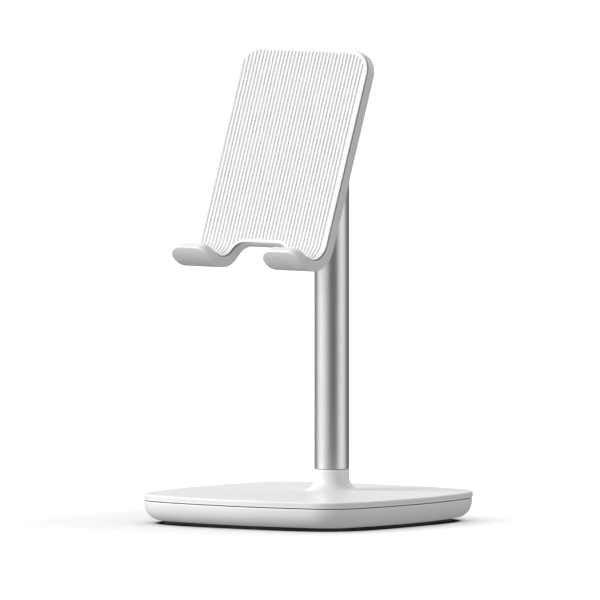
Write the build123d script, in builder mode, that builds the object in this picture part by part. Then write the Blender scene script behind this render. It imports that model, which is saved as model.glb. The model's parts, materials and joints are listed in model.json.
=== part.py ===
from build123d import *

import os
from math import cos, radians, sin, sqrt

os.makedirs("parts", exist_ok=True)

# Phone stand: a weighted base, a pole that slides up over a fixed post, and a tilting holder.
# The origin is on the floor under the middle of the base, +Z is up and the holder faces -Y.
# Lengths are in millimetres and angles in degrees.

# ---- base outline and height
base_width = 113.0            # across the middle of two opposite sides
base_side_radius = 172.0      # each side is a shallow arc
base_corner_radius = 18.7
base_height = 12.0            # floor to the top of the cover

# ---- base cover
cover_thickness = 2.45
cover_edge_radius = 0.6
seam = 0.35                   # shadow gap between the cover and the tray
seam_edge_radius = 0.2
lip_inset = 2.5               # locating lip under the cover, just inside the tray wall
lip_thickness = 1.4
lip_depth = 2.0
boss_radius = 3.5
boss_spacing = 76.4           # square pattern of the tray screws
pilot_depth = 5.4

# ---- base tray
tray_inset = 0.3              # the tray stands in a little from the cover
tray_wall = 2.0
tray_bottom_radius = 6.8
island_radius = 4.6
island_height = 1.9

# ---- anti-slip pad under the tray
sole_stand = 1.25             # how far the pad lifts the tray off the floor
sole_recess = 0.6
sole_inset = 8.2
sole_gap = 0.2
sole_edge_radius = 0.3

# ---- counterweight and its foam pads
weight_inset = 6.0
weight_boss_hole = 5.0
foam_thickness = 1.2
foam_side = 16.0
foam_distance = 32.0

# ---- collar, post and pole, all on one upright axis behind the middle of the base
pole_y = 16.3
collar_height = 8.6           # above the cover
collar_flare = 5.0            # radius of the concave sweep into the cover
collar_edge_radius = 0.6
post_radius = 5.0
post_bore = 3.5
post_flat = 0.6               # depth of the flat that stops the pole turning
post_seat = 1.6               # how far the post stands in the counterweight
tube_radius = 7.0
tube_bore = 6.0
tube_gap = 0.1                # open line between the collar and the lowered pole
tube_edge = 0.08
bush_length = 14.0
slide_travel = 40.0
glide_length = 14.0
glide_cap = 1.5
stop_gap = 0.4
running_gap = 0.05            # radial clearance of every sliding or turning fit
ring_depth = 0.6
ring_width = 2.4

# ---- screws
m3_radius = 1.5
m3_clearance = 1.7
m4_radius = 2.0
m5_radius = 2.5
m5_clearance = 2.7
tray_head_radius = 2.8
tray_head_height = 1.6
tray_head_gap = 0.2
tray_screw_length = 6.6       # under the head
post_head_radius = 4.5
post_head_height = 1.8
post_screw_length = 12.5
washer_radius = 5.0
washer_thickness = 1.0
weight_counterbore = 5.3
weight_counterbore_depth = 2.0
plug_length = 12.0

# ---- tilt hinge at the top of the pole
hinge_height = 154.0          # tilt axis above the floor
head_plug_length = 16.0
shoulder_drop = 8.0           # shoulder's top face below the tilt axis
shoulder_height = 3.0
shoulder_edge_radius = 0.8
head_pin_radius = 1.5
head_pin_drop = 8.0           # below the top of the tube
tongue_width = 6.0
tongue_radius = 6.0
friction_thickness = 0.5
friction_radius = 5.4
ear_thickness = 4.6
ear_radius = 6.2
slot_radius = 9.6             # inside of the fork, clear of the neck at every tilt
bolt_pocket_radius = 3.7
bolt_pocket_depth = 3.0
bolt_head_radius = 3.5
bolt_head_height = 2.0
nut_across_flats = 7.0
nut_height = 1.7
spring_height = 0.5
spring_cone = 0.15
cap_radius = 4.6
cap_height = 0.7
cap_spigot_depth = 0.6
cap_edge_radius = 0.4

# ---- holder plate, described along n, its front normal, and t, up along its face,
# ---- both measured from the tilt axis
holder_lean = 22.3            # from upright at rest
holder_width = 64.2
plate_thickness = 4.3
plate_back = 24.3             # n of the back face
plate_top = 28.4              # t of the top edge
bend_start = -54.8            # t where the hooks start to curl forward
hook_radius = 9.2             # inside of the curl
hook_angle = 136.0
plate_corner_radius = 10.3
notch_width = 25.7
notch_top = -55.5             # t of the notch's top edge
notch_corner_radius = 4.8
hook_corner_radius = 5.5
plate_edge_radius = 0.5
smooth_angle = 20.0           # faces that meet at less than this run on smoothly

# ---- silicone pad on the plate
skin_thickness = 1.1
skin_inset = 0.55             # the pad's border from the plate's edge
skin_angle = 116.0            # how far the pad follows the curl
skin_hook_corner_radius = 3.0

# ---- bracket between the plate and the hinge
flange_width = 23.0
flange_length = 29.0
flange_thickness = 3.4
flange_corner_radius = 4.0
arm_half_height = 7.5         # where the arm meets the flange
bracket_edge_radius = 0.6
bracket_screw_x = 15.0
bracket_screw_t = 21.0
bracket_screw_length = 7.0
sink_radius = 3.0
sink_depth = 1.7
sink_taper = 38.0
bracket_socket_radius = 1.05

# ---- heights and radii that follow
cover_top = base_height
cover_bottom = cover_top - cover_thickness
tray_bottom = sole_stand
tray_top = cover_bottom - seam
tray_floor = tray_bottom + tray_wall
sole_roof = tray_bottom + sole_recess
island_top = tray_floor + island_height
weight_bottom = tray_floor + foam_thickness
weight_thickness = cover_bottom - weight_bottom
counterbore_roof = weight_bottom + weight_counterbore_depth
post_screw_seat = counterbore_roof - washer_thickness
collar_top = cover_top + collar_height
post_foot = cover_bottom - post_seat
tube_foot = collar_top + tube_gap
bush_top = tube_foot + bush_length
glide_foot = bush_top + slide_travel + stop_gap
post_top = glide_foot + glide_length
shoulder_top = hinge_height - shoulder_drop
tube_top = shoulder_top - shoulder_height
slot_half = tongue_width / 2 + friction_thickness + running_gap
ear_outside = slot_half + ear_thickness
pocket_floor = ear_outside - bolt_pocket_depth
plate_front = plate_back + plate_thickness
skin_front = plate_front + skin_thickness
curl_centre = (plate_front + hook_radius, bend_start)
hook_reach = 2 * (hook_radius + plate_thickness)

# ---- planes
up_face = Vector(0, sin(radians(holder_lean)), cos(radians(holder_lean)))
front_normal = Vector(0, -cos(radians(holder_lean)), sin(radians(holder_lean)))
tilt_axis_point = Vector(0, pole_y, hinge_height)
side_plane = Plane(origin=tilt_axis_point, x_dir=front_normal, z_dir=(-1, 0, 0))


def pole_plane(height):
    """Level plane with its origin on the pole's axis."""
    return Plane(origin=(0, pole_y, height))


def hinge_plane(x):
    """Upright plane across the tilt axis, facing +X."""
    return Plane(origin=(x, pole_y, hinge_height), x_dir=(0, 1, 0), z_dir=(1, 0, 0))


def face_plane(n):
    """Plane parallel to the holder's face, n in front of the tilt axis."""
    return Plane(origin=tilt_axis_point + front_normal * n, x_dir=(1, 0, 0), z_dir=front_normal)


def bowed_square(inset):
    """Draw the base's outline, moved in by inset, in the active sketch."""
    half = base_width / 2 - inset
    side_radius = base_side_radius - inset
    centre_back = side_radius - half
    corner = (sqrt(2 * side_radius**2 - centre_back**2) - centre_back) / 2
    side = [Vector(corner, -corner), Vector(half, 0), Vector(corner, corner)]
    with BuildLine() as outline:
        for turn in range(0, 360, 90):
            ThreePointArc(*[point.rotate(Axis.Z, turn) for point in side])
    make_face(outline.edges())
    fillet(vertices(), base_corner_radius - inset)


def flatted_circle(radius, flat_depth):
    """Draw a circle with a flat cut across its back, in the active sketch."""
    Circle(radius)
    with Locations((0, 2 * radius - flat_depth)):
        Rectangle(2 * radius, 2 * radius, mode=Mode.SUBTRACT)


def curled_strip(front, back, top, angle):
    """Draw the side view of a strip that runs down the face and curls forward into the hook."""
    inner = curl_centre[0] - front
    outer = curl_centre[0] - back
    with BuildLine() as outline:
        down_front = Line((front, top), (front, bend_start))
        inner_curl = CenterArc(curl_centre, inner, 180, angle)
        outer_curl = CenterArc(curl_centre, outer, 180, angle)
        Line(inner_curl @ 1, outer_curl @ 1)
        down_back = Line((back, top), (back, bend_start))
        Line(down_front @ 0, down_back @ 0)
    make_face(outline.edges())


def curl_end_axis(angle):
    """Direction across the strip's thickness at the end of its curl."""
    turned = radians(180 + angle)
    return Axis(tilt_axis_point, front_normal * cos(turned) + up_face * sin(turned))


def sharp_edges(solid):
    """Edges where two faces meet at a corner, leaving out those where one runs smoothly into the next."""
    found = ShapeList()
    for edge in solid.edges():
        beside = [face for face in solid.faces() if any(edge.is_same(rim) for rim in face.edges())]
        if len(beside) == 2:
            normals = [face.normal_at(edge @ 0.5) for face in beside]
            if normals[0].get_angle(normals[1]) > smooth_angle:
                found.append(edge)
    return found


def notch_cut(inset):
    """Draw the open notch between the hooks, grown by inset, on the active face plane."""
    with Locations((0, notch_top + inset - hook_reach / 2)):
        RectangleRounded(notch_width + 2 * inset, hook_reach, notch_corner_radius + inset)


# ================================================================ base
with BuildPart() as base_cover:
    with BuildSketch(Plane.XY.offset(cover_bottom)):
        bowed_square(0)
    extrude(amount=cover_thickness)
    fillet(faces().sort_by(Axis.Z)[-1].edges(), cover_edge_radius)
    fillet(faces().sort_by(Axis.Z)[0].edges(), seam_edge_radius)
    with BuildSketch(Plane.XY.offset(cover_bottom)):
        bowed_square(lip_inset)
    extrude(amount=-lip_depth)
    with BuildSketch(Plane.XY.offset(cover_bottom)):
        bowed_square(lip_inset + lip_thickness)
    extrude(amount=-lip_depth, mode=Mode.SUBTRACT)
    # bosses for the tray screws
    with BuildSketch(Plane.XY.offset(island_top)):
        with GridLocations(boss_spacing, boss_spacing, 2, 2):
            Circle(boss_radius)
    extrude(amount=cover_bottom - island_top)
    with BuildSketch(Plane.XY.offset(island_top)):
        with GridLocations(boss_spacing, boss_spacing, 2, 2):
            Circle(m3_radius)
    extrude(amount=pilot_depth, mode=Mode.SUBTRACT)
    # collar that sweeps up to the pole's width
    with BuildSketch(Plane.XZ.offset(-pole_y)):
        with BuildLine():
            sweep_up = CenterArc(
                (tube_radius + collar_flare, cover_top + collar_flare), collar_flare, 180, 90
            )
            Polyline(sweep_up @ 0, (tube_radius, collar_top), (0, collar_top), (0, cover_bottom))
            Polyline((0, cover_bottom), (tube_radius + collar_flare, cover_bottom), sweep_up @ 1)
        make_face()
    revolve(axis=Axis((0, pole_y, 0), (0, 0, 1)))
    fillet(faces().sort_by(Axis.Z)[-1].edges(), collar_edge_radius)
    with Locations(pole_plane(collar_top)):
        Hole(post_radius)
base_cover.part.label = "base_cover"
export_step(base_cover.part, "parts/base_cover.step")

# the space inside the tray, rounded at its foot like the tray itself
with BuildPart() as tray_cavity:
    with BuildSketch(Plane.XY.offset(tray_floor)):
        bowed_square(tray_inset + tray_wall)
    extrude(amount=tray_top)
    fillet(faces().sort_by(Axis.Z)[0].edges(), tray_bottom_radius - tray_wall)

with BuildPart() as base_tray:
    with BuildSketch(Plane.XY.offset(tray_bottom)):
        bowed_square(tray_inset)
    extrude(amount=tray_top - tray_bottom)
    fillet(faces().sort_by(Axis.Z)[0].edges(), tray_bottom_radius)
    fillet(faces().sort_by(Axis.Z)[-1].edges(), seam_edge_radius)
    add(tray_cavity.part, mode=Mode.SUBTRACT)
    # recess for the anti-slip pad
    with BuildSketch(Plane.XY.offset(tray_bottom)):
        bowed_square(sole_inset)
    extrude(amount=sole_recess, mode=Mode.SUBTRACT)
    # islands that carry the screw heads
    with BuildSketch(Plane.XY.offset(tray_floor)):
        with GridLocations(boss_spacing, boss_spacing, 2, 2):
            Circle(island_radius)
    extrude(amount=island_height)
    with BuildSketch(Plane.XY.offset(sole_roof)):
        with GridLocations(boss_spacing, boss_spacing, 2, 2):
            Circle(tray_head_radius + tray_head_gap)
    extrude(amount=tray_head_height, mode=Mode.SUBTRACT)
    with BuildSketch(Plane.XY.offset(sole_roof)):
        with GridLocations(boss_spacing, boss_spacing, 2, 2):
            Circle(m3_clearance)
    extrude(amount=island_top - sole_roof, mode=Mode.SUBTRACT)
base_tray.part.label = "base_tray"
export_step(base_tray.part, "parts/base_tray.step")

with BuildPart() as anti_slip_pad:
    with BuildSketch(Plane.XY):
        bowed_square(sole_inset + sole_gap)
    extrude(amount=sole_roof)
    fillet(faces().sort_by(Axis.Z)[0].edges(), sole_edge_radius)
anti_slip_pad.part.label = "anti_slip_pad"
export_step(anti_slip_pad.part, "parts/anti_slip_pad.step")

with BuildPart() as tray_screws:
    with BuildSketch(Plane.XY.offset(sole_roof)):
        with GridLocations(boss_spacing, boss_spacing, 2, 2):
            Circle(tray_head_radius)
    extrude(amount=tray_head_height)
    with BuildSketch(Plane.XY.offset(sole_roof)):
        with GridLocations(boss_spacing, boss_spacing, 2, 2):
            Circle(m3_radius)
    extrude(amount=tray_head_height + tray_screw_length)
    with BuildSketch(Plane.XY.offset(sole_roof)):
        with GridLocations(boss_spacing, boss_spacing, 2, 2):
            RegularPolygon(m3_radius, 6)
    extrude(amount=tray_head_height / 2, mode=Mode.SUBTRACT)
tray_screws.part.label = "tray_screws"
export_step(tray_screws.part, "parts/tray_screws.step")

with BuildPart() as counterweight:
    with BuildSketch(Plane.XY.offset(weight_bottom)):
        bowed_square(weight_inset)
        with GridLocations(boss_spacing, boss_spacing, 2, 2):
            Circle(weight_boss_hole, mode=Mode.SUBTRACT)
    extrude(amount=weight_thickness)
    with BuildSketch(pole_plane(weight_bottom)):
        Circle(weight_counterbore)
    extrude(amount=weight_counterbore_depth, mode=Mode.SUBTRACT)
    with BuildSketch(pole_plane(weight_bottom)):
        Circle(m5_clearance)
    extrude(amount=weight_thickness, mode=Mode.SUBTRACT)
    with BuildSketch(pole_plane(post_foot)):
        Circle(post_radius)
    extrude(amount=post_seat, mode=Mode.SUBTRACT)
counterweight.part.label = "counterweight"
export_step(counterweight.part, "parts/counterweight.step")

with BuildPart() as weight_pads:
    with BuildSketch(Plane.XY.offset(tray_floor)):
        with PolarLocations(foam_distance, 4):
            Rectangle(foam_side, foam_side)
    extrude(amount=foam_thickness)
weight_pads.part.label = "weight_pads"
export_step(weight_pads.part, "parts/weight_pads.step")

# ================================================================ fixed post
with BuildPart() as post:
    with BuildSketch(pole_plane(post_foot)):
        Circle(post_radius)
        Circle(post_bore, mode=Mode.SUBTRACT)
    extrude(amount=post_top - post_foot)
    # flat down the back, from the collar up, that stops the pole turning
    with BuildSketch(pole_plane(collar_top)):
        with Locations((0, 2 * post_radius - post_flat)):
            Rectangle(2 * post_radius, 2 * post_radius)
    extrude(amount=post_top - collar_top, mode=Mode.SUBTRACT)
post.part.label = "post"
export_step(post.part, "parts/post.step")

with BuildPart() as post_plug:
    with BuildSketch(pole_plane(post_foot)):
        Circle(post_bore)
        Circle(m5_radius, mode=Mode.SUBTRACT)
    extrude(amount=plug_length)
post_plug.part.label = "post_plug"
export_step(post_plug.part, "parts/post_plug.step")

with BuildPart() as post_washer:
    with BuildSketch(pole_plane(post_screw_seat)):
        Circle(washer_radius)
        Circle(m5_clearance, mode=Mode.SUBTRACT)
    extrude(amount=washer_thickness)
post_washer.part.label = "post_washer"
export_step(post_washer.part, "parts/post_washer.step")

with BuildPart() as post_screw:
    with BuildSketch(pole_plane(post_screw_seat)):
        Circle(post_head_radius)
    extrude(amount=-post_head_height)
    with BuildSketch(pole_plane(post_screw_seat)):
        Circle(m5_radius)
    extrude(amount=post_screw_length)
    with BuildSketch(pole_plane(post_screw_seat - post_head_height)):
        RegularPolygon(m3_radius, 6)
    extrude(amount=post_head_height / 2, mode=Mode.SUBTRACT)
post_screw.part.label = "post_screw"
export_step(post_screw.part, "parts/post_screw.step")

with BuildPart() as post_glide:
    with BuildSketch(pole_plane(glide_foot)):
        Circle(tube_bore - running_gap)
    extrude(amount=glide_length + glide_cap)
    with BuildSketch(pole_plane(glide_foot)):
        flatted_circle(post_radius, post_flat)
    extrude(amount=glide_length, mode=Mode.SUBTRACT)
    # groove for the friction ring
    with BuildSketch(pole_plane(glide_foot + (glide_length - ring_width) / 2)):
        Circle(tube_bore)
        Circle(tube_bore - running_gap - ring_depth, mode=Mode.SUBTRACT)
    extrude(amount=ring_width, mode=Mode.SUBTRACT)
post_glide.part.label = "post_glide"
export_step(post_glide.part, "parts/post_glide.step")

with BuildPart() as friction_ring:
    with BuildSketch(pole_plane(glide_foot + (glide_length - ring_width) / 2)):
        Circle(tube_bore - running_gap)
        Circle(tube_bore - running_gap - ring_depth, mode=Mode.SUBTRACT)
    extrude(amount=ring_width)
friction_ring.part.label = "friction_ring"
export_step(friction_ring.part, "parts/friction_ring.step")

# ================================================================ sliding pole
with BuildPart() as outer_tube:
    with BuildSketch(pole_plane(tube_foot)):
        Circle(tube_radius)
        Circle(tube_bore, mode=Mode.SUBTRACT)
    extrude(amount=tube_top - tube_foot)
    ends = outer_tube.edges().filter_by(GeomType.CIRCLE).filter_by(lambda rim: rim.radius > tube_bore)
    chamfer(ends, tube_edge)
    with BuildSketch(Plane.YZ.offset(-tube_radius)):
        with Locations((pole_y, tube_top - head_pin_drop)):
            Circle(head_pin_radius)
    extrude(amount=2 * tube_radius, mode=Mode.SUBTRACT)
outer_tube.part.label = "outer_tube"
export_step(outer_tube.part, "parts/outer_tube.step")

with BuildPart() as lower_bush:
    with BuildSketch(pole_plane(tube_foot)):
        Circle(tube_bore)
    extrude(amount=bush_length)
    with BuildSketch(pole_plane(tube_foot)):
        flatted_circle(post_radius + running_gap, post_flat)
    extrude(amount=bush_length, mode=Mode.SUBTRACT)
lower_bush.part.label = "lower_bush"
export_step(lower_bush.part, "parts/lower_bush.step")

with BuildPart() as pole_head:
    with BuildSketch(pole_plane(tube_top)):
        Circle(tube_radius)
    extrude(amount=shoulder_height)
    fillet(faces().sort_by(Axis.Z)[-1].edges(), shoulder_edge_radius)
    with BuildSketch(pole_plane(tube_top)):
        Circle(tube_bore)
    extrude(amount=-head_plug_length)
    with BuildSketch(hinge_plane(0)):
        Circle(tongue_radius)
        with Locations((0, -shoulder_drop / 2)):
            Rectangle(2 * tongue_radius, shoulder_drop)
    extrude(amount=tongue_width / 2, both=True)
    with BuildSketch(hinge_plane(0)):
        Circle(m4_radius + running_gap)
    extrude(amount=tongue_width, both=True, mode=Mode.SUBTRACT)
    with BuildSketch(Plane.YZ.offset(-tube_radius)):
        with Locations((pole_y, tube_top - head_pin_drop)):
            Circle(head_pin_radius)
    extrude(amount=2 * tube_radius, mode=Mode.SUBTRACT)
pole_head.part.label = "pole_head"
export_step(pole_head.part, "parts/pole_head.step")

head_pin_half = sqrt(tube_radius**2 - head_pin_radius**2)
with BuildPart() as head_pin:
    with BuildSketch(Plane.YZ):
        with Locations((pole_y, tube_top - head_pin_drop)):
            Circle(head_pin_radius)
    extrude(amount=head_pin_half, both=True)
head_pin.part.label = "head_pin"
export_step(head_pin.part, "parts/head_pin.step")

# ================================================================ tilting holder
with BuildPart() as holder_plate:
    with BuildSketch(side_plane):
        curled_strip(plate_front, plate_back, plate_top, hook_angle)
    extrude(amount=holder_width / 2, both=True)
    top_corners = holder_plate.edges().filter_by(Axis((0, 0, 0), front_normal))
    fillet(top_corners, plate_corner_radius)
    with BuildSketch(face_plane(plate_back)):
        notch_cut(0)
    extrude(amount=hook_reach, mode=Mode.SUBTRACT)
    hook_corners = holder_plate.edges().filter_by(curl_end_axis(hook_angle))
    fillet(hook_corners, hook_corner_radius)
    fillet(sharp_edges(holder_plate), plate_edge_radius)
    with BuildSketch(face_plane(plate_front)):
        with GridLocations(bracket_screw_x, bracket_screw_t, 2, 2):
            Circle(m3_clearance)
    extrude(amount=-plate_thickness, mode=Mode.SUBTRACT)
    with BuildSketch(face_plane(plate_front)):
        with GridLocations(bracket_screw_x, bracket_screw_t, 2, 2):
            Circle(sink_radius)
    extrude(amount=-sink_depth, taper=sink_taper, mode=Mode.SUBTRACT)
holder_plate.part.label = "holder_plate"
export_step(holder_plate.part, "parts/holder_plate.step")

with BuildPart() as holder_pad:
    with BuildSketch(side_plane):
        curled_strip(skin_front, plate_front, plate_top - skin_inset, skin_angle)
    extrude(amount=holder_width / 2 - skin_inset, both=True)
    top_corners = holder_pad.edges().filter_by(Axis((0, 0, 0), front_normal))
    fillet(top_corners, plate_corner_radius - skin_inset)
    with BuildSketch(face_plane(plate_back)):
        notch_cut(skin_inset)
    extrude(amount=hook_reach, mode=Mode.SUBTRACT)
    hook_corners = holder_pad.edges().filter_by(curl_end_axis(skin_angle))
    fillet(hook_corners, skin_hook_corner_radius)
holder_pad.part.label = "holder_pad"
export_step(holder_pad.part, "parts/holder_pad.step")

with BuildPart() as hinge_bracket:
    with BuildSketch(side_plane):
        Circle(ear_radius)
        with Locations((plate_back - flange_thickness / 2, 0)):
            Rectangle(flange_thickness, 2 * arm_half_height)
        make_hull()
    extrude(amount=ear_outside, both=True)
    with BuildSketch(side_plane):
        Circle(slot_radius)
        with Locations((-slot_radius, 0)):
            Rectangle(2 * slot_radius, 2 * slot_radius)
    extrude(amount=slot_half, both=True, mode=Mode.SUBTRACT)
    with BuildSketch(face_plane(plate_back)):
        RectangleRounded(flange_width, flange_length, flange_corner_radius)
    extrude(amount=-flange_thickness)
    fillet(sharp_edges(hinge_bracket), bracket_edge_radius)
    with BuildSketch(hinge_plane(0)):
        Circle(m4_radius)
    extrude(amount=ear_outside, both=True, mode=Mode.SUBTRACT)
    with BuildSketch(hinge_plane(pocket_floor)):
        Circle(bolt_pocket_radius)
    extrude(amount=bolt_pocket_depth, mode=Mode.SUBTRACT)
    with BuildSketch(hinge_plane(-pocket_floor)):
        RegularPolygon(nut_across_flats / 2, 6, major_radius=False)
    extrude(amount=-bolt_pocket_depth, mode=Mode.SUBTRACT)
    with BuildSketch(face_plane(plate_back)):
        with GridLocations(bracket_screw_x, bracket_screw_t, 2, 2):
            Circle(m3_radius)
    extrude(amount=-flange_thickness, mode=Mode.SUBTRACT)
hinge_bracket.part.label = "hinge_bracket"
export_step(hinge_bracket.part, "parts/hinge_bracket.step")

with BuildPart() as bracket_screws:
    with BuildSketch(face_plane(plate_front)):
        with GridLocations(bracket_screw_x, bracket_screw_t, 2, 2):
            Circle(sink_radius)
    extrude(amount=-sink_depth, taper=sink_taper)
    with BuildSketch(face_plane(plate_front)):
        with GridLocations(bracket_screw_x, bracket_screw_t, 2, 2):
            Circle(m3_radius)
    extrude(amount=-bracket_screw_length)
    with BuildSketch(face_plane(plate_front)):
        with GridLocations(bracket_screw_x, bracket_screw_t, 2, 2):
            RegularPolygon(bracket_socket_radius, 6)
    extrude(amount=-sink_depth / 2, mode=Mode.SUBTRACT)
bracket_screws.part.label = "bracket_screws"
export_step(bracket_screws.part, "parts/bracket_screws.step")

with BuildPart() as pivot_bolt:
    with BuildSketch(hinge_plane(pocket_floor)):
        Circle(bolt_head_radius)
    extrude(amount=bolt_head_height)
    with BuildSketch(hinge_plane(pocket_floor)):
        Circle(m4_radius)
    extrude(amount=-(2 * pocket_floor + nut_height + spring_height))
    with BuildSketch(hinge_plane(pocket_floor + bolt_head_height)):
        RegularPolygon(m3_radius, 6)
    extrude(amount=-bolt_head_height / 2, mode=Mode.SUBTRACT)
pivot_bolt.part.label = "pivot_bolt"
export_step(pivot_bolt.part, "parts/pivot_bolt.step")

with BuildPart() as pivot_nut:
    with BuildSketch(hinge_plane(-pocket_floor - spring_height)):
        RegularPolygon(nut_across_flats / 2, 6, major_radius=False)
        Circle(m4_radius, mode=Mode.SUBTRACT)
    extrude(amount=-nut_height)
pivot_nut.part.label = "pivot_nut"
export_step(pivot_nut.part, "parts/pivot_nut.step")

# conical spring washer that keeps the hinge tight
with BuildPart() as spring_washer:
    with BuildSketch(Plane(tilt_axis_point, x_dir=(-1, 0, 0), z_dir=(0, -1, 0))):
        with BuildLine():
            Polyline(
                (pocket_floor, bolt_head_radius - spring_cone),
                (pocket_floor + spring_cone, m4_radius),
                (pocket_floor + spring_height, m4_radius),
                (pocket_floor + spring_height - spring_cone, bolt_head_radius - spring_cone),
                close=True,
            )
        make_face()
    revolve(axis=Axis(tilt_axis_point, (1, 0, 0)))
spring_washer.part.label = "spring_washer"
export_step(spring_washer.part, "parts/spring_washer.step")

with BuildPart() as friction_washers:
    for side in (1, -1):
        with BuildSketch(hinge_plane(side * slot_half)):
            Circle(friction_radius)
            Circle(m4_radius, mode=Mode.SUBTRACT)
        extrude(amount=-side * friction_thickness)
friction_washers.part.label = "friction_washers"
export_step(friction_washers.part, "parts/friction_washers.step")

with BuildPart() as pivot_caps:
    for side in (1, -1):
        with BuildSketch(hinge_plane(side * ear_outside)):
            Circle(cap_radius)
        extrude(amount=side * cap_height)
        with BuildSketch(hinge_plane(side * ear_outside)):
            Circle(nut_across_flats / 2 - running_gap)
        extrude(amount=-side * cap_spigot_depth)
    rims = pivot_caps.edges().filter_by(GeomType.CIRCLE).group_by(Axis.X)
    fillet(rims[0] + rims[-1], cap_edge_radius)
pivot_caps.part.label = "pivot_caps"
export_step(pivot_caps.part, "parts/pivot_caps.step")
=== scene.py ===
import json
from math import cos, pi, radians, sin, sqrt

import bpy
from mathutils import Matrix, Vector


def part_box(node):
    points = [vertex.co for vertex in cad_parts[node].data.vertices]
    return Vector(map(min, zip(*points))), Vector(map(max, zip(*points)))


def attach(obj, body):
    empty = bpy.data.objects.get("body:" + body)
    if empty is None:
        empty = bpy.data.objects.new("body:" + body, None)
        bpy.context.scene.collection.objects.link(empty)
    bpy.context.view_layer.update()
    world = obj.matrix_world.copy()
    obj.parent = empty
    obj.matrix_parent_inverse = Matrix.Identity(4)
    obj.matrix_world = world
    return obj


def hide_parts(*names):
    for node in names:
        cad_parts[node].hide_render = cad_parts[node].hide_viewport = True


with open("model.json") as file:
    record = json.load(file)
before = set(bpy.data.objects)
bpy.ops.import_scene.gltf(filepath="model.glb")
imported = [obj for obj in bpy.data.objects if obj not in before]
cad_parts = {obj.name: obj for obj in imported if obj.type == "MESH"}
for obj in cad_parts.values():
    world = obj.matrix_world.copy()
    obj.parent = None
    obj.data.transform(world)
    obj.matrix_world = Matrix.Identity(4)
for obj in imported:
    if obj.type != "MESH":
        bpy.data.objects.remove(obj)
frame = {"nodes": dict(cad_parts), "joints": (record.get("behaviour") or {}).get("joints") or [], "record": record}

# Phone stand. Lengths are in metres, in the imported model's frame: +Z up, the holder faces -Y.
MM = 0.001
nodes = frame["nodes"]
record = frame["record"]
scene = bpy.context.scene
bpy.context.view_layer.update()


def named(entries, name):
    return next(entry for entry in entries if entry["name"] == name)


# ================================================================ the holder's own frame
# n is the distance in front of the tilt axis and t the distance up the holder's face.
tilt_axis = Vector(named(frame["joints"], "holder_tilt")["pos_m"])
face_normal = Vector(named(record["mounts"], "phone_rest")["axis"]).normalized()
face_up = Vector((0, face_normal.z, -face_normal.y))


def extent(node, direction):
    """Least and greatest distance of a CAD node from the tilt axis along a direction."""
    along = [(vertex.co - tilt_axis).dot(direction) for vertex in nodes[node].data.vertices]
    return min(along), max(along)


SKIN_THICKNESS = 1.1 * MM
PLATE_THICKNESS = 4.3 * MM
CURL_RADIUS = 9.2 * MM             # inside of the hooks, on the plate
skin_front = (Vector(named(record["mounts"], "phone_rest")["pos_m"]) - tilt_axis).dot(face_normal)
plate_front = skin_front - SKIN_THICKNESS
plate_foot, plate_head = extent("holder_plate", face_up)
TINY = 1e-6 * MM
bend_start = plate_foot + CURL_RADIUS + PLATE_THICKNESS
plate_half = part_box("holder_plate")[1].x


# ================================================================ grooved silicone pad
# The pad is drawn flat, with x across it and d down it from where the hooks start to curl,
# and is then laid on the plate and round the curl.
BORDER = 0.1 * MM                  # strip of plate that the pad leaves bare at its sides
TOP_BORDER = 0.45 * MM             # and what it leaves bare at the top besides
EDGE_ROUND = 0.2 * MM
UNDERCUT = 1.0 * MM                # the pad's foot from its front edge
PLATE_CORNER = 10.3 * MM
NOTCH_HALF = 12.85 * MM
NOTCH_CORNER = 4.8 * MM
NOTCH_DROP = 0.7 * MM              # notch's top edge below the start of the curl
CURL_END = radians(116)
HOOK_CORNER = 3.55 * MM            # corner at the tip of a hook
GROOVES = 35
GROOVE_PITCH = 1.7132 * MM
GROOVE_WIDTH = 0.76 * MM
GROOVE_DEPTH = 0.72 * MM
GROOVE_MARGIN = 1.75 * MM          # plain border between a groove's end and the outline
GROOVE_FADE = 0.3 * MM             # length over which a groove's end rises to the face
HALF_FADED = 0.7                   # share of a groove's depth half way along that
BEND_RADIUS = CURL_RADIUS + PLATE_THICKNESS / 2
THINS_FROM = radians(30)           # turn of the curl over which the pad thins out
THINS_TO = radians(95)
THIN_SHARE = 0.3                   # of its thickness that is left there
DEPTH_SHARE = 0.72                 # largest share of the pad's thickness that a groove may take
HAIR = 0.01 * MM
CLOSEST_COLUMNS = 0.03 * MM        # spacing of the columns of the pad's mesh
WIDEST_COLUMNS = 0.45 * MM
SHORTEST_ROW = 0.3 * MM
ARC_STEPS = 12                     # steps round the quarter circle of a corner
FLANK_SHARES = (-1, -0.8, -0.5, 0, 0.5, 0.8, 1)

pad_top = bend_start - plate_head + TOP_BORDER
pad_end = BEND_RADIUS * CURL_END


def arc_drop(radius, run):
    """Height of a circle of that radius above its centre line, run away from its middle."""
    return sqrt(max(radius * radius - run * run, 0.0))


def top_edge(x, inset):
    """Where the pad's outline, moved in by inset, starts at this x."""
    centre = plate_half - PLATE_CORNER
    radius = PLATE_CORNER - inset
    run = min(max(abs(x) - centre, 0.0), radius)
    return pad_top + PLATE_CORNER - arc_drop(radius, run)


def notch_edge(x, inset):
    """Where the outline meets the notch, at an x between the hooks."""
    radius = NOTCH_CORNER + inset
    run = min(max(abs(x) - (NOTCH_HALF - NOTCH_CORNER), 0.0), radius)
    return NOTCH_DROP + NOTCH_CORNER - arc_drop(radius, run)


def hook_edge(x, inset):
    """Where the outline ends on a hook."""
    radius = HOOK_CORNER - inset
    inner = NOTCH_HALF + HOOK_CORNER
    outer = plate_half - HOOK_CORNER
    run = min(max(inner - abs(x), abs(x) - outer, 0.0), radius)
    return pad_end - HOOK_CORNER + arc_drop(radius, run)


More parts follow.
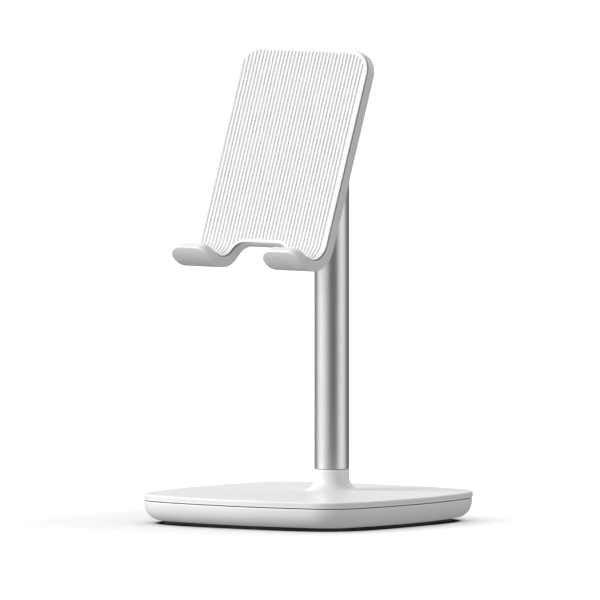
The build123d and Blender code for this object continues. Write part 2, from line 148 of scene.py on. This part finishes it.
def groove_depth(x):
    """Depth of the groove pattern at this x, away from the grooves' ends: steep sides, round floor."""
    nearest = round(x / GROOVE_PITCH)
    if abs(nearest) > GROOVES // 2:
        return 0.0
    off = abs(x - nearest * GROOVE_PITCH) / (GROOVE_WIDTH / 2)
    return GROOVE_DEPTH * (1 - off**3) ** 1.2 if off < 1 else 0.0


def pad_height(d):
    """The pad's thickness, which falls away smoothly round the curl."""
    share = min(max((d / BEND_RADIUS - THINS_FROM) / (THINS_TO - THINS_FROM), 0.0), 1.0)
    return SKIN_THICKNESS * (1 - (1 - THIN_SHARE) * share * share * (3 - 2 * share))


def grooved_height(d, depth, weight):
    """Height of the pad's face above the plate where a groove of that depth has that weight."""
    return pad_height(d) - min(depth, DEPTH_SHARE * pad_height(d)) * weight


def pad_columns(inset):
    """The x of every column of the pad's mesh: groove flanks, outline arcs and evenly filled gaps."""
    wanted = {0.0, NOTCH_HALF + inset, plate_half - inset}
    for groove in range(GROOVES // 2 + 1):
        for share in FLANK_SHARES:
            wanted.add(groove * GROOVE_PITCH + share * GROOVE_WIDTH / 2)
    arcs = (
        (plate_half - PLATE_CORNER, PLATE_CORNER - inset, 1),
        (NOTCH_HALF - NOTCH_CORNER, NOTCH_CORNER + inset, 1),
        (plate_half - HOOK_CORNER, HOOK_CORNER - inset, 1),
        (NOTCH_HALF + HOOK_CORNER, HOOK_CORNER - inset, -1),
    )
    for centre, radius, way in arcs:
        for step in range(1, ARC_STEPS):
            wanted.add(centre + way * radius * sin(step * pi / (2 * ARC_STEPS)))
    fixed = {NOTCH_HALF + inset, plate_half - inset}
    kept = []
    for x in sorted(value for value in wanted if -TINY <= value <= plate_half - inset + TINY):
        while kept and x - kept[-1] < CLOSEST_COLUMNS and kept[-1] not in fixed and x in fixed:
            kept.pop()
        if not kept or x - kept[-1] >= CLOSEST_COLUMNS:
            kept.append(x)
    filled = [kept[0]]
    for x in kept[1:]:
        parts = max(1, round((x - filled[-1]) / WIDEST_COLUMNS))
        start = filled[-1]
        filled += [start + (x - start) * part / parts for part in range(1, parts + 1)]
    return [-x for x in reversed(filled[1:])] + filled


def between(start, end, shares):
    return [start + (end - start) * share for share in shares]


FACE_SHARES = (0, 0.2, 0.4, 0.6, 0.74, 0.84, 0.9, 0.93, 0.95, 0.965, 0.98, 0.99, 1)
CURL_SHARES = [step / 14 for step in range(15)]


def face_rows(x, inset):
    """Rows of one column, (d, groove weight), from the top edge to the notch or the curl."""
    start = top_edge(x, inset)
    within = min(abs(x), plate_half - GROOVE_MARGIN - HAIR)
    groove_start = max(top_edge(within, GROOVE_MARGIN), start + SHORTEST_ROW)
    stops_here = abs(x) < NOTCH_HALF + GROOVE_MARGIN
    curl_line = NOTCH_DROP + NOTCH_CORNER
    end = notch_edge(x, inset) if abs(x) <= NOTCH_HALF + inset + TINY else curl_line
    groove_end = min(notch_edge(x, GROOVE_MARGIN), end - SHORTEST_ROW)
    rows = [(start, 0.0), (groove_start, 0.0), (groove_start + GROOVE_FADE / 2, HALF_FADED)]
    run = between(groove_start + GROOVE_FADE, groove_end - GROOVE_FADE, FACE_SHARES)
    rows += [(d, 1.0) for d in run]
    tail = ((groove_end - GROOVE_FADE / 2, HALF_FADED), (groove_end, 0.0), (end, 0.0))
    return rows + [(d, weight if stops_here else 1.0) for d, weight in tail]


def curl_rows(x, inset):
    """Rows of one column round the curl, from the end of face_rows to the pad's end."""
    start = NOTCH_DROP + NOTCH_CORNER
    end = hook_edge(x, inset)
    near_side = NOTCH_HALF + GROOVE_MARGIN
    grooved = near_side < abs(x) < plate_half - GROOVE_MARGIN
    groove_end = end - GROOVE_MARGIN
    rows = [(d, 1.0) for d in between(start, groove_end - GROOVE_FADE, CURL_SHARES)]
    rows += [(groove_end - GROOVE_FADE / 2, HALF_FADED), (groove_end, 0.0), (end, 0.0)]
    return [(d, weight if grooved else 0.0) for d, weight in rows]


def lay_on_plate(x, d, height):
    """Place a point of the flat pad, height above the plate, on the plate or round its curl."""
    if d <= 0:
        n, t = plate_front + height, bend_start - d
    else:
        turned = d / BEND_RADIUS
        radius = CURL_RADIUS - height
        n = plate_front + CURL_RADIUS - radius * cos(turned)
        t = bend_start - radius * sin(turned)
    return tilt_axis + Vector((x, 0, 0)) + face_normal * n + face_up * t


class FlatMesh:
    """Points (x, d, height) and faces of the pad while it is flat."""

    def __init__(self):
        self.points = []
        self.faces = []

    def add(self, x, d, height):
        self.points.append((x, d, height))
        return len(self.points) - 1

    def grid(self, columns):
        """Faces between neighbouring columns, facing forward."""
        for left, right in zip(columns, columns[1:]):
            for row in range(len(left) - 1):
                self.faces.append([left[row + 1], right[row + 1], right[row], left[row]])

    def ring(self, border, outward, drop):
        """A copy of a border, moved outward in the flat and set that far below the pad's face."""
        made = []
        for index, point in enumerate(border):
            x0, d0, _ = self.points[border[index - 1]]
            x1, d1, _ = self.points[border[(index + 1) % len(border)]]
            x, d, _ = self.points[point]
            length = sqrt((x1 - x0) ** 2 + (d1 - d0) ** 2)
            out_x, out_d = (d1 - d0) / length * outward, (x0 - x1) / length * outward
            made.append(self.add(x + out_x, d + out_d, pad_height(d) - drop))
        return made

    def wall(self, rings):
        for upper, lower in zip(rings, rings[1:]):
            for index in range(len(upper)):
                after = (index + 1) % len(upper)
                self.faces.append([upper[index], upper[after], lower[after], lower[index]])


def pad_front(flat, inset):
    """The pad's front: the face and a strip round each hook. Returns its border, clockwise."""
    side = NOTCH_HALF + inset
    face, curls = [], {-1: [], 1: []}
    for x in pad_columns(inset):
        depth = groove_depth(x)
        rows = face_rows(x, inset)
        face.append([flat.add(x, d, grooved_height(d, depth, weight)) for d, weight in rows])
        if abs(x) >= side - TINY:
            rows = curl_rows(x, inset)[1:]
            lower = [flat.add(x, d, grooved_height(d, depth, weight)) for d, weight in rows]
            curls[1 if x > 0 else -1].append([face[-1][-1], *lower])
    flat.grid(face)
    flat.grid(curls[-1])
    flat.grid(curls[1])
    border = [column[0] for column in face]
    border += face[-1][1:] + curls[1][-1][1:]
    border += [column[-1] for column in curls[1][-2::-1]]
    border += curls[1][0][-2::-1]
    border += [column[-1] for column in face[::-1] if abs(flat.points[column[-1]][0]) < side - TINY]
    border += curls[-1][-1]
    border += [column[-1] for column in curls[-1][-2::-1]]
    border += curls[-1][0][-2:0:-1] + face[0][:0:-1]
    return border


PAD_SHARP_ANGLE = radians(50)


def make_pad():
    """The pad as one closed mesh, with a rounded front edge and a side that leans in to the plate."""
    flat = FlatMesh()
    border = pad_front(flat, BORDER + UNDERCUT)
    front_points = list(flat.points)
    front_faces = list(flat.faces)
    rings = [border]
    for angle in (0, 30, 60, 90):
        out = UNDERCUT - EDGE_ROUND * (1 - sin(radians(angle)))
        drop = EDGE_ROUND * (1 - cos(radians(angle)))
        rings.append(flat.ring(border, out, drop))
    back = [flat.add(x, d, 0.0) for x, d, _ in front_points]
    rings.append([back[point] for point in border])
    flat.wall(rings)
    flat.faces += [[back[point] for point in reversed(face)] for face in front_faces]
    mesh = bpy.data.meshes.new("grooved_pad")
    mesh.from_pydata([lay_on_plate(*point) for point in flat.points], [], flat.faces)
    mesh.validate()
    mesh.shade_smooth()
    mesh.set_sharp_from_angle(angle=PAD_SHARP_ANGLE)
    pad = bpy.data.objects.new("grooved_pad", mesh)
    scene.collection.objects.link(pad)
    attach(pad, "holder")
    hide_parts("holder_pad")
    return pad


pad = make_pad()


# ================================================================ materials
CAD_SHARP_ANGLE = radians(28)
EDGE_HIGHLIGHT_REACH = 0.6 * MM                # reach of the painted edge highlights
HIGHLIGHT_OPENNESS = (0.97, 0.8)      # where the painted highlight starts, and where it is complete
CREASE_SHADE_REACH = 1.0 * MM             # reach of the painted shade in creases
CREASE_SHADE_OPENNESS = (0.8, 0.3)        # where the painted shade starts, and where it is darkest
# colour of the painted shade in creases
CREASE_SHADE_TONE = (0.38, 0.38, 0.38)
# colour of the painted edge highlights
WHITE = (1.0, 1.0, 1.0)
ALONG_POLE = (5200, 5200, 40)      # scratches to a metre along each axis
EVERY_WAY = (1600, 1600, 1600)
SPREAD_AROUND = 0.4                # how much more a drawn tube's reflections spread round it


def node_chain(tree):
    """A function that adds a maths node to this tree, linked to the values given."""

    def add(operation, *values):
        node = tree.nodes.new("ShaderNodeMath")
        node.operation = operation
        for socket, value in zip(node.inputs, values):
            if isinstance(value, float):
                socket.default_value = value
            else:
                tree.links.new(value, socket)
        return node.outputs["Value"]

    return add


def ramp(tree, source, start, end, low, high):
    """Source mapped smoothly from start and end to low and high."""
    node = tree.nodes.new("ShaderNodeMapRange")
    node.interpolation_type = "SMOOTHSTEP"
    for name, value in zip(("From Min", "From Max", "To Min", "To Max"), (start, end, low, high)):
        node.inputs[name].default_value = value
    tree.links.new(source, node.inputs["Value"])
    return node.outputs["Result"]


class Shader:
    """A material's node tree, built up from its Principled shader."""

    def __init__(self, name, colour, roughness, metallic=0.0, specular=0.5):
        self.material = bpy.data.materials.new(name)
        self.material.use_nodes = True
        self.tree = self.material.node_tree
        self.surface = self.tree.nodes["Principled BSDF"]
        self.surface.inputs["Base Color"].default_value = (*colour, 1)
        self.surface.inputs["Roughness"].default_value = roughness
        self.surface.inputs["Metallic"].default_value = metallic
        self.surface.inputs["Specular IOR Level"].default_value = specular
        self.colour, self.roughness = colour, roughness
        self.place = self.tree.nodes.new("ShaderNodeTexCoord").outputs["Object"]

    def noise(self, scale, detail=2.0, stretch=(1, 1, 1)):
        """Noise that varies scale times a metre, stretched along the axes given."""
        mapping = self.tree.nodes.new("ShaderNodeMapping")
        mapping.inputs["Scale"].default_value = stretch
        noise = self.tree.nodes.new("ShaderNodeTexNoise")
        noise.inputs["Scale"].default_value = scale
        noise.inputs["Detail"].default_value = detail
        self.tree.links.new(self.place, mapping.inputs["Vector"])
        self.tree.links.new(mapping.outputs["Vector"], noise.inputs["Vector"])
        return noise.outputs["Fac"]

    def spread(self, source, low, high):
        """Source, 0.3 to 0.7, mapped to low to high."""
        node = self.tree.nodes.new("ShaderNodeMapRange")
        node.inputs["From Min"].default_value = 0.3
        node.inputs["From Max"].default_value = 0.7
        node.inputs["To Min"].default_value = low
        node.inputs["To Max"].default_value = high
        self.tree.links.new(source, node.inputs["Value"])
        return node.outputs["Result"]

    def vary_roughness(self, source, amount):
        output = self.spread(source, self.roughness - amount, self.roughness + amount)
        self.tree.links.new(output, self.surface.inputs["Roughness"])

    def vary_colour(self, source, share):
        """Darken and lighten the base colour by a share either way."""
        mix = self.tree.nodes.new("ShaderNodeMix")
        mix.data_type = "RGBA"
        mix.inputs["A"].default_value = (*[value * (1 - share) for value in self.colour], 1)
        mix.inputs["B"].default_value = (*[min(value * (1 + share), 1) for value in self.colour], 1)
        self.tree.links.new(self.spread(source, 0, 1), mix.inputs["Factor"])
        self.tree.links.new(mix.outputs["Result"], self.surface.inputs["Base Color"])

    def openness(self, reach, inside):
        """How open the space is within reach, outside the surface or in the material behind it."""
        node = self.tree.nodes.new("ShaderNodeAmbientOcclusion")
        node.samples = 8
        node.inside = inside
        node.only_local = inside
        node.inputs["Distance"].default_value = reach
        return node.outputs["AO"]

    def blend_to(self, factor, colour):
        """Move the base colour towards this one by the factor."""
        mix = self.tree.nodes.new("ShaderNodeMix")
        mix.data_type = "RGBA"
        before = self.surface.inputs["Base Color"].links[0].from_socket
        self.tree.links.new(factor, mix.inputs["Factor"])
        self.tree.links.new(before, mix.inputs["A"])
        mix.inputs["B"].default_value = (*colour, 1)
        self.tree.links.new(mix.outputs["Result"], self.surface.inputs["Base Color"])

    def paint_edge_highlights(self, reach, colour):
        """Lighten the colour along the outer edges, where the material behind the surface is thin: a painted
        highlight.
        """
        highlight_share = ramp(self.tree, self.openness(reach, True), *HIGHLIGHT_OPENNESS, 0.0, 1.0)
        self.blend_to(highlight_share, colour)

    def paint_crease_shade(self, reach, colour):
        """Darken the colour in the creases and the gaps beside other pieces: painted shade."""
        crease_shade = ramp(self.tree, self.openness(reach, False), *CREASE_SHADE_OPENNESS, 0.0, 1.0)
        self.blend_to(crease_shade, colour)

    def bump(self, source, strength, distance):
        node = self.tree.nodes.new("ShaderNodeBump")
        node.inputs["Strength"].default_value = strength
        node.inputs["Distance"].default_value = distance
        self.tree.links.new(source, node.inputs["Height"])
        self.tree.links.new(node.outputs["Normal"], self.surface.inputs["Normal"])


def moulded_plastic(name, colour, roughness):
    """Satin moulded plastic: fine grain, faint flow marks, painted highlights along its edges and painted shade in
    its creases.
    """
    shader = Shader(name, colour, roughness)
    shader.vary_colour(shader.noise(60, 3), 0.012)
    # Painted highlights along the outer edges.
    shader.paint_edge_highlights(EDGE_HIGHLIGHT_REACH, WHITE)
    # Painted shade in the creases and the gaps beside other pieces.
    shader.paint_crease_shade(CREASE_SHADE_REACH, CREASE_SHADE_TONE)
    shader.vary_roughness(shader.noise(900, 4), 0.05)
    shader.bump(shader.noise(5200, 2), 0.12, 0.02 * MM)
    return shader.material


def soft_silicone(name, colour, roughness):
    """Matt silicone with a faint velvet sheen and a slightly uneven skin."""
    shader = Shader(name, colour, roughness, specular=0.35)
    shader.surface.inputs["Sheen Weight"].default_value = 0.15
    shader.surface.inputs["Sheen Roughness"].default_value = 0.5
    shader.vary_colour(shader.noise(140, 4), 0.015)
    shader.vary_roughness(shader.noise(1400, 3), 0.06)
    shader.bump(shader.noise(3600, 3), 0.1, 0.02 * MM)
    return shader.material


def drawn_metal(name, colour, roughness, stretch, depth=0.01):
    """Metal with fine scratches along one axis."""
    shader = Shader(name, colour, roughness, metallic=1.0)
    streaks = shader.noise(1.0, 3, stretch)
    shader.vary_colour(streaks, 0.02)
    shader.vary_roughness(streaks, 0.04)
    shader.bump(streaks, 0.08, depth * MM)
    return shader.material


def lengthwise_drawn_metal(name, colour, roughness):
    """Metal drawn along Z, whose reflections spread round it more than along it."""
    material = drawn_metal(name, colour, roughness, ALONG_POLE)
    tree = material.node_tree
    surface = tree.nodes["Principled BSDF"]
    around = tree.nodes.new("ShaderNodeTangent")
    around.direction_type = "RADIAL"
    around.axis = "Z"
    tree.links.new(around.outputs["Tangent"], surface.inputs["Tangent"])
    surface.inputs["Anisotropic"].default_value = SPREAD_AROUND
    return material


materials = {
    "white_plastic": moulded_plastic("white_plastic", (0.80, 0.80, 0.80), 0.38),
    "silicone": soft_silicone("silicone", (0.86, 0.86, 0.86), 0.6),
    "pole_aluminium": lengthwise_drawn_metal("pole_aluminium", (0.70, 0.70, 0.71), 0.34),
    "post_steel": drawn_metal("post_steel", (0.7, 0.7, 0.71), 0.2, ALONG_POLE),
    "zinc_steel": drawn_metal("zinc_steel", (0.66, 0.67, 0.69), 0.34, EVERY_WAY),
    "weight_steel": drawn_metal("weight_steel", (0.3, 0.3, 0.31), 0.5, EVERY_WAY, 0.03),
    "sole_rubber": soft_silicone("sole_rubber", (0.03, 0.03, 0.03), 0.75),
    "ring_rubber": soft_silicone("ring_rubber", (0.04, 0.04, 0.04), 0.5),
    "foam": soft_silicone("foam", (0.07, 0.07, 0.07), 0.9),
    "glide_plastic": moulded_plastic("glide_plastic", (0.8, 0.8, 0.77), 0.42),
}
slots = {entry["node"]: entry["material_slot"] for entry in record["subparts"]}
for name, node in nodes.items():
    node.data.materials.clear()
    node.data.materials.append(materials[slots[name]])
    node.data.shade_smooth()
    node.data.set_sharp_from_angle(angle=CAD_SHARP_ANGLE)
pad.data.materials.append(materials["silicone"])


# ================================================================ camera
VIEW_AZIMUTH = 35.66               # degrees
VIEW_ELEVATION = 3.78
FRAME_WIDTH = 241.2 * MM
AIM_LEFT = 12.8 * MM               # left of the pole
AIM_ABOVE = 67.65 * MM             # above the pole's foot
CAMERA_DISTANCE = 1.5


def direction(round_left, above):
    """Direction from the stand, by its angles left of and above the camera's heading."""
    azimuth = radians(VIEW_AZIMUTH - round_left)
    lift = radians(above)
    return Vector((sin(azimuth) * cos(lift), -cos(azimuth) * cos(lift), sin(lift)))


pole_foot = Vector((tilt_axis.x, tilt_axis.y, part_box("outer_tube")[0].z))
to_camera = direction(0, VIEW_ELEVATION)
view_right = direction(-90, 0)
view_up = to_camera.cross(view_right)
aim = pole_foot - view_right * AIM_LEFT + view_up * AIM_ABOVE
camera_data = bpy.data.cameras.new("camera")
camera_data.type = "ORTHO"
camera_data.ortho_scale = FRAME_WIDTH
camera = bpy.data.objects.new("camera", camera_data)
camera.location = aim + to_camera * CAMERA_DISTANCE
camera.rotation_euler = to_camera.to_track_quat("Z", "Y").to_euler()
scene.collection.objects.link(camera)
scene.camera = camera


# ================================================================ floor
# The floor is white paper. Its painted glow, which the stand sees and the camera does not, stands in for the light
# it throws back up at the stand, but not from under the base.
FLOOR_HALF = 3.0
PAPER_TONE = 0.95
PAINTED_SHADOW_TO = 0.92               # painted shadow, black under the base, to this share of its half width
PAINTED_SHADOW_BLUR = 1 * MM
BOUNCE_FROM = 0.86                 # light is thrown back from this share of its half width
BOUNCE_BLUR = 2 * MM
BOUNCE_NEAR = 0.38                 # light thrown back just outside the base
BOUNCE_FAR = 0.29
BOUNCE_REACH = 90 * MM
SOFT_SHADE = 0.76                  # paper's painted tone in the soft shade around the base
SHADE_REACH = 75 * MM
SHADE_LEFT = 24 * MM               # the shade lies towards the left
SQUARENESS = 4.0                   # power that makes the shade's contours rounded squares


def paper_floor():
    """White paper to the camera, with a painted shadow under the base and a painted soft shade around it, and a
    dim painted glow to the stand.
    """
    shader = Shader("floor", (PAPER_TONE, PAPER_TONE, PAPER_TONE), 0.9, specular=0.1)
    tree = shader.tree
    maths = node_chain(tree)
    axes = tree.nodes.new("ShaderNodeSeparateXYZ")
    tree.links.new(shader.place, axes.inputs["Vector"])

    def square_distance(x, y):
        """Distance from a point, measured so that its contours are rounded squares."""
        parts = []
        for name, value in (("X", x), ("Y", y)):
            run = maths("ABSOLUTE", maths("SUBTRACT", axes.outputs[name], value))
            parts.append(maths("POWER", run, SQUARENESS))
        return maths("POWER", maths("ADD", *parts), 1 / SQUARENESS)

    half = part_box("base_cover")[1].x
    away = square_distance(0.0, 0.0)
    shade_middle = view_right * -SHADE_LEFT
    shade_away = square_distance(shade_middle.x, shade_middle.y)
    painted_shadow_to = PAINTED_SHADOW_TO * half
    # The paper's colour holds painted shade: black under the base and a soft shade around it.
    paper = maths(
        "MULTIPLY",
        ramp(tree, away, painted_shadow_to - PAINTED_SHADOW_BLUR, painted_shadow_to + PAINTED_SHADOW_BLUR, 0.0, 1.0),
        ramp(tree, shade_away, half, half + SHADE_REACH, SOFT_SHADE, PAPER_TONE),
    )
    tree.links.new(paper, shader.surface.inputs["Base Color"])
    # The paper's glow, which only rays from the stand see, is painted light standing in for light thrown back up.
    bounce_from = BOUNCE_FROM * half
    bounce = maths(
        "MULTIPLY",
        ramp(tree, away, bounce_from - BOUNCE_BLUR, bounce_from + BOUNCE_BLUR, 0.0, 1.0),
        ramp(tree, away, half, half + BOUNCE_REACH, BOUNCE_NEAR, BOUNCE_FAR),
    )
    emission = tree.nodes.new("ShaderNodeEmission")
    tree.links.new(bounce, emission.inputs["Strength"])
    ray = tree.nodes.new("ShaderNodeLightPath").outputs
    mix = tree.nodes.new("ShaderNodeMixShader")
    tree.links.new(ray["Is Camera Ray"], mix.inputs["Fac"])
    tree.links.new(emission.outputs["Emission"], mix.inputs[1])
    tree.links.new(shader.surface.outputs["BSDF"], mix.inputs[2])
    tree.links.new(mix.outputs["Shader"], tree.nodes["Material Output"].inputs["Surface"])
    return shader.material


floor_mesh = bpy.data.meshes.new("floor")
floor_corners = [(x * FLOOR_HALF, y * FLOOR_HALF, 0) for x, y in ((-1, -1), (1, -1), (1, 1), (-1, 1))]
floor_mesh.from_pydata(floor_corners, [], [(0, 1, 2, 3)])
floor = bpy.data.objects.new("floor", floor_mesh)
floor_mesh.materials.append(paper_floor())
scene.collection.objects.link(floor)
floor.visible_glossy = False


# ================================================================ light
def softbox(name, round_left, above, spread, strength):
    """Large soft light a long way off, so that it falls evenly on the whole floor."""
    data = bpy.data.lights.new(name, "SUN")
    data.angle = radians(spread)
    data.energy = strength
    light = bpy.data.objects.new(name, data)
    away = direction(round_left, above)
    light.location = aim + away
    light.rotation_euler = away.to_track_quat("Z", "Y").to_euler()
    scene.collection.objects.link(light)
    return light


# The stand's lights miss the floor, which has a wide overhead one of its own, so that nothing
# casts a hard shadow on it.
off_floor = bpy.data.collections.new("off_floor")
off_floor.objects.link(floor)
off_floor.collection_objects[0].light_linking.link_state = "EXCLUDE"
for light in (
    softbox("key_softbox", 80, 25, 40, 2.46),
    softbox("back_softbox", 180, 40, 60, 0.86),
    softbox("rim_softbox", -125, 30, 40, 0.44),
):
    light.light_linking.receiver_collection = off_floor
on_floor = bpy.data.collections.new("on_floor")
on_floor.objects.link(floor)
softbox("floor_softbox", 0, 90, 130, 2.6).light_linking.receiver_collection = on_floor

FILL = 0.375                       # dim studio walls, as matt surfaces see them
DARK_WALL = 0.15                   # and as glossy ones do
PANEL_SPILL = 0.78                 # share of the lit panels' light that reaches matt surfaces
BACKDROP = 1.2                     # white sheet behind the stand
LEFT_PANEL = (68, 4, 60, 0.80)     # degrees round to the left, above and reached, and brightness
RIGHT_PANEL = (-69, 4, 40, 1.04)


def studio_world():
    """Dim walls with two lit panels, and a white sheet that only the camera sees."""
    world = bpy.data.worlds.new("studio")
    world.use_nodes = True
    tree = world.node_tree
    maths = node_chain(tree)
    ray = tree.nodes.new("ShaderNodeLightPath").outputs
    heading = tree.nodes.new("ShaderNodeTexCoord").outputs["Generated"]

    def panel(round_left, above, reach, strength):
        """Brightness of a lit panel on the studio's wall, fading out evenly to its reach."""
        toward = tree.nodes.new("ShaderNodeVectorMath")
        toward.operation = "DOT_PRODUCT"
        toward.inputs[1].default_value = direction(round_left, above)
        tree.links.new(heading, toward.inputs[0])
        return ramp(tree, toward.outputs["Value"], cos(radians(reach)), 1.0, 0.0, strength)

    wall = maths("MULTIPLY_ADD", ray["Is Glossy Ray"], DARK_WALL - FILL, FILL)
    spill = maths("MULTIPLY_ADD", ray["Is Glossy Ray"], 1 - PANEL_SPILL, PANEL_SPILL)
    both_panels = maths("ADD", panel(*LEFT_PANEL), panel(*RIGHT_PANEL))
    strength = maths("ADD", wall, maths("MULTIPLY", spill, both_panels))
    background = tree.nodes["Background"]
    background.inputs["Color"].default_value = (1, 1, 1, 1)
    tree.links.new(strength, background.inputs["Strength"])
    backdrop = tree.nodes.new("ShaderNodeBackground")
    backdrop.inputs["Color"].default_value = (1, 1, 1, 1)
    backdrop.inputs["Strength"].default_value = BACKDROP
    mix = tree.nodes.new("ShaderNodeMixShader")
    tree.links.new(ray["Is Camera Ray"], mix.inputs["Fac"])
    tree.links.new(background.outputs["Background"], mix.inputs[1])
    tree.links.new(backdrop.outputs["Background"], mix.inputs[2])
    tree.links.new(mix.outputs["Shader"], tree.nodes["World Output"].inputs["Surface"])
    return world


scene.world = studio_world()
scene.view_settings.view_transform = "Standard"
